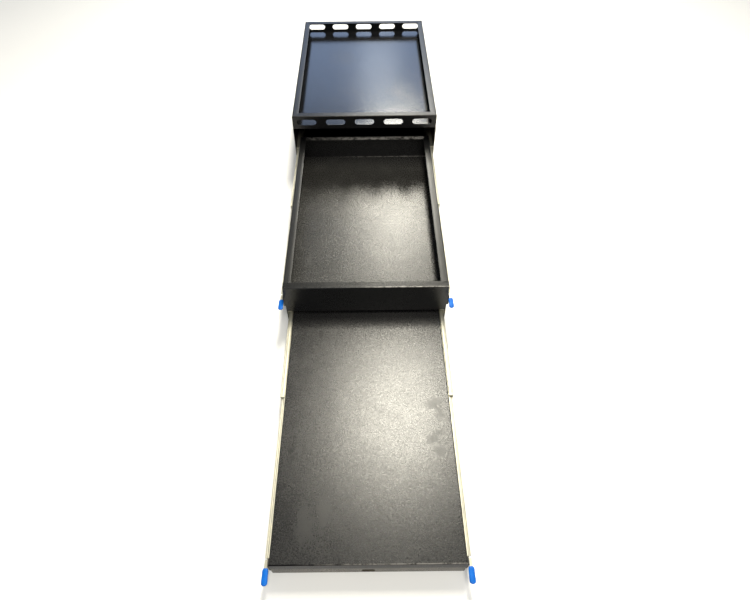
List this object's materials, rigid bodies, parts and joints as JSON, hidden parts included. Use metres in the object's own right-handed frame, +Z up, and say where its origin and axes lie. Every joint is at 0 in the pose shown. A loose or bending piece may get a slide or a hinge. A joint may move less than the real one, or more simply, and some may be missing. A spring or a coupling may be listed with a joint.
{
  "type": "slide-out drawer and step unit",
  "caption": "Black sheet-steel slide-out unit for a vehicle: slotted cargo tray on a sleeve, a deep pull-out drawer, and a flat step panel that slides out from under the drawer.",
  "frame": {"origin": "middle of the underside of the sleeve base", "axes": "+X to the right seen from the opening side, +Y towards the closed back of the sleeve, +Z up; the drawer and panel pull out towards -Y"},
  "size_m": [0.583, 2.4625, 0.33],
  "materials": {
    "powder_coat": "satin fine-texture black powder coat",
    "slide_zinc": "bright zinc plate with a faint cream cast",
    "retainer_steel": "bright steel",
    "lever_vinyl": "dipped vinyl, semi-gloss blue",
    "stop_rubber": "matte black rubber"
  },
  "bodies": {
    "cabinet": {"sleeve_back": "powder_coat", "sleeve_base": "powder_coat", "sleeve_deck": "powder_coat", "sleeve_side_left": "powder_coat", "sleeve_side_right": "powder_coat", "tray_floor": "powder_coat", "tray_wall_back": "powder_coat", "tray_wall_front": "powder_coat", "tray_wall_left": "powder_coat", "tray_wall_right": "powder_coat", "upper_slide_outer_left": "slide_zinc", "upper_slide_outer_right": "slide_zinc"},
    "drawer": {"drawer_back": "powder_coat", "drawer_floor": "powder_coat", "drawer_floor_brace_back": "powder_coat", "drawer_floor_brace_front": "powder_coat", "drawer_front": "powder_coat", "drawer_side_left": "powder_coat", "drawer_side_right": "powder_coat", "lower_slide_outer_left": "slide_zinc", "lower_slide_outer_right": "slide_zinc", "upper_slide_bumper_left": "stop_rubber", "upper_slide_bumper_right": "stop_rubber", "upper_slide_inner_left": "slide_zinc", "upper_slide_inner_right": "slide_zinc"},
    "step_panel": {"lower_slide_bumper_left": "stop_rubber", "lower_slide_bumper_right": "stop_rubber", "lower_slide_inner_left": "slide_zinc", "lower_slide_inner_right": "slide_zinc", "panel_back_rail": "powder_coat", "panel_deck": "powder_coat", "panel_front_lip": "powder_coat", "panel_rail_left": "powder_coat", "panel_rail_right": "powder_coat", "panel_rib_back": "powder_coat", "panel_rib_front": "powder_coat", "panel_rib_middle": "powder_coat"},
    "lower_retainer_inner_left": {"lower_slide_ball_retainer_inner_left": "retainer_steel"},
    "lower_retainer_inner_right": {"lower_slide_ball_retainer_inner_right": "retainer_steel"},
    "lower_retainer_outer_left": {"lower_slide_ball_retainer_outer_left": "retainer_steel"},
    "lower_retainer_outer_right": {"lower_slide_ball_retainer_outer_right": "retainer_steel"},
    "lower_lever_left": {"lower_slide_lever_grip_left": "lever_vinyl", "lower_slide_lever_left": "slide_zinc"},
    "lower_lever_right": {"lower_slide_lever_grip_right": "lever_vinyl", "lower_slide_lever_right": "slide_zinc"},
    "lower_middle_left": {"lower_slide_middle_left": "slide_zinc"},
    "lower_middle_right": {"lower_slide_middle_right": "slide_zinc"},
    "upper_retainer_inner_left": {"upper_slide_ball_retainer_inner_left": "retainer_steel"},
    "upper_retainer_inner_right": {"upper_slide_ball_retainer_inner_right": "retainer_steel"},
    "upper_retainer_outer_left": {"upper_slide_ball_retainer_outer_left": "retainer_steel"},
    "upper_retainer_outer_right": {"upper_slide_ball_retainer_outer_right": "retainer_steel"},
    "upper_lever_left": {"upper_slide_lever_grip_left": "lever_vinyl", "upper_slide_lever_left": "slide_zinc"},
    "upper_lever_right": {"upper_slide_lever_grip_right": "lever_vinyl", "upper_slide_lever_right": "slide_zinc"},
    "upper_middle_left": {"upper_slide_middle_left": "slide_zinc"},
    "upper_middle_right": {"upper_slide_middle_right": "slide_zinc"}
  },
  "joints": [
    {"name": "drawer_slide", "type": "slide", "parent": "cabinet", "child": "drawer", "axis": [0, 1, 0], "range_m": [0, 0.798]},
    {"name": "panel_slide", "type": "slide", "parent": "drawer", "child": "step_panel", "axis": [0, 1, 0], "range_m": [0, 0.788]},
    {"name": "upper_middle_left_slide", "type": "slide", "parent": "cabinet", "child": "upper_middle_left", "axis": [0, 1, 0], "range_m": [0, 0.3585]},
    {"name": "upper_retainer_inner_left_slide", "type": "slide", "parent": "cabinet", "child": "upper_retainer_inner_left", "axis": [0, 1, 0], "range_m": [0, 0.5785]},
    {"name": "upper_retainer_outer_left_slide", "type": "slide", "parent": "cabinet", "child": "upper_retainer_outer_left", "axis": [0, 1, 0], "range_m": [0, 0.1795]},
    {"name": "upper_lever_left_press", "type": "hinge", "parent": "drawer", "child": "upper_lever_left", "pos_m": [-0.2769, -1.166, 0.14], "axis": [1, 0, 0], "range_deg": [0, 9], "stiffness_Nm_per_rad": 0.6, "springref_deg": -20.05},
    {"name": "upper_middle_right_slide", "type": "slide", "parent": "cabinet", "child": "upper_middle_right", "axis": [0, 1, 0], "range_m": [0, 0.3585]},
    {"name": "upper_retainer_inner_right_slide", "type": "slide", "parent": "cabinet", "child": "upper_retainer_inner_right", "axis": [0, 1, 0], "range_m": [0, 0.5785]},
    {"name": "upper_retainer_outer_right_slide", "type": "slide", "parent": "cabinet", "child": "upper_retainer_outer_right", "axis": [0, 1, 0], "range_m": [0, 0.1795]},
    {"name": "upper_lever_right_press", "type": "hinge", "parent": "drawer", "child": "upper_lever_right", "pos_m": [0.2769, -1.166, 0.14], "axis": [1, 0, 0], "range_deg": [0, 9], "stiffness_Nm_per_rad": 0.6, "springref_deg": -20.05},
    {"name": "lower_middle_left_slide", "type": "slide", "parent": "drawer", "child": "lower_middle_left", "axis": [0, 1, 0], "range_m": [0, 0.3265]},
    {"name": "lower_retainer_inner_left_slide", "type": "slide", "parent": "drawer", "child": "lower_retainer_inner_left", "axis": [0, 1, 0], "range_m": [0, 0.5575]},
    {"name": "lower_retainer_outer_left_slide", "type": "slide", "parent": "drawer", "child": "lower_retainer_outer_left", "axis": [0, 1, 0], "range_m": [0, 0.1635]},
    {"name": "lower_lever_left_press", "type": "hinge", "parent": "step_panel", "child": "lower_lever_left", "pos_m": [-0.2552, -1.954, 0.05], "axis": [1, 0, 0], "range_deg": [0, 9], "stiffness_Nm_per_rad": 0.6, "springref_deg": -20.05},
    {"name": "lower_middle_right_slide", "type": "slide", "parent": "drawer", "child": "lower_middle_right", "axis": [0, 1, 0], "range_m": [0, 0.3265]},
    {"name": "lower_retainer_inner_right_slide", "type": "slide", "parent": "drawer", "child": "lower_retainer_inner_right", "axis": [0, 1, 0], "range_m": [0, 0.5575]},
    {"name": "lower_retainer_outer_right_slide", "type": "slide", "parent": "drawer", "child": "lower_retainer_outer_right", "axis": [0, 1, 0], "range_m": [0, 0.1635]},
    {"name": "lower_lever_right_press", "type": "hinge", "parent": "step_panel", "child": "lower_lever_right", "pos_m": [0.2552, -1.954, 0.05], "axis": [1, 0, 0], "range_deg": [0, 9], "stiffness_Nm_per_rad": 0.6, "springref_deg": -20.05}
  ],
  "couplings": [
    {"joint": "upper_middle_left_slide", "follows": "drawer_slide", "ratio": 0.44862},
    {"joint": "upper_retainer_inner_left_slide", "follows": "drawer_slide", "ratio": 0.72431},
    {"joint": "upper_retainer_outer_left_slide", "follows": "drawer_slide", "ratio": 0.22431},
    {"joint": "upper_middle_right_slide", "follows": "drawer_slide", "ratio": 0.44862},
    {"joint": "upper_retainer_inner_right_slide", "follows": "drawer_slide", "ratio": 0.72431},
    {"joint": "upper_retainer_outer_right_slide", "follows": "drawer_slide", "ratio": 0.22431},
    {"joint": "lower_middle_left_slide", "follows": "panel_slide", "ratio": 0.41371},
    {"joint": "lower_retainer_inner_left_slide", "follows": "panel_slide", "ratio": 0.70685},
    {"joint": "lower_retainer_outer_left_slide", "follows": "panel_slide", "ratio": 0.20685},
    {"joint": "lower_middle_right_slide", "follows": "panel_slide", "ratio": 0.41371},
    {"joint": "lower_retainer_inner_right_slide", "follows": "panel_slide", "ratio": 0.70685},
    {"joint": "lower_retainer_outer_right_slide", "follows": "panel_slide", "ratio": 0.20685}
  ]
}
